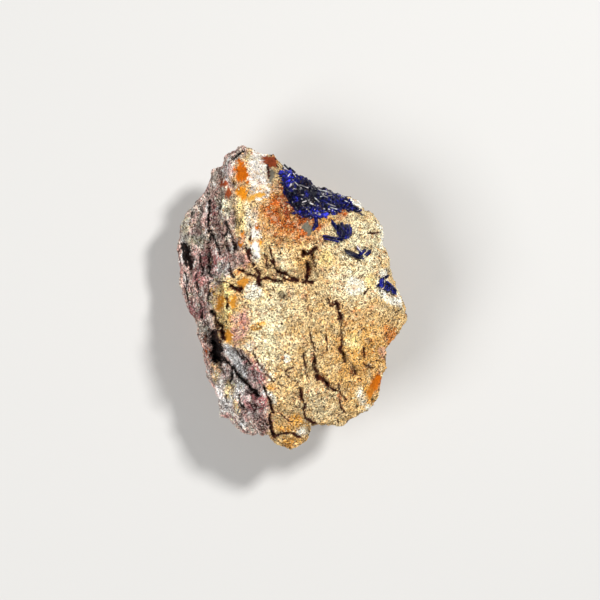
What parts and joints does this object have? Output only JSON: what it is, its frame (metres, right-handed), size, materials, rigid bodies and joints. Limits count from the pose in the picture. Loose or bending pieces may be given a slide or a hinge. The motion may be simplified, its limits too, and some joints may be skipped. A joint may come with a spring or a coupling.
{
  "type": "azurite specimen",
  "caption": "Broken lump of iron-stained sandstone with a crust and loose groups of deep blue azurite blades on its face, lying on a flat back.",
  "frame": {"origin": "on the flat back that the lump rests on, under the middle of its face", "axes": "+Z out of the face that carries the crystals, +Y up that face along the lump's length, +X to the right across it"},
  "size_m": [0.06, 0.0792, 0.0349],
  "materials": {
    "sandstone": "rough, granular, iron stained",
    "azurite": "glassy, deep blue"
  },
  "bodies": {
    "root": {"matrix": "sandstone", "azurite_crust": "azurite", "azurite_fan": "azurite", "azurite_lath": "azurite", "azurite_crossed_laths": "azurite", "azurite_splinter": "azurite", "azurite_rim_group": "azurite"}
  },
  "joints": []
}
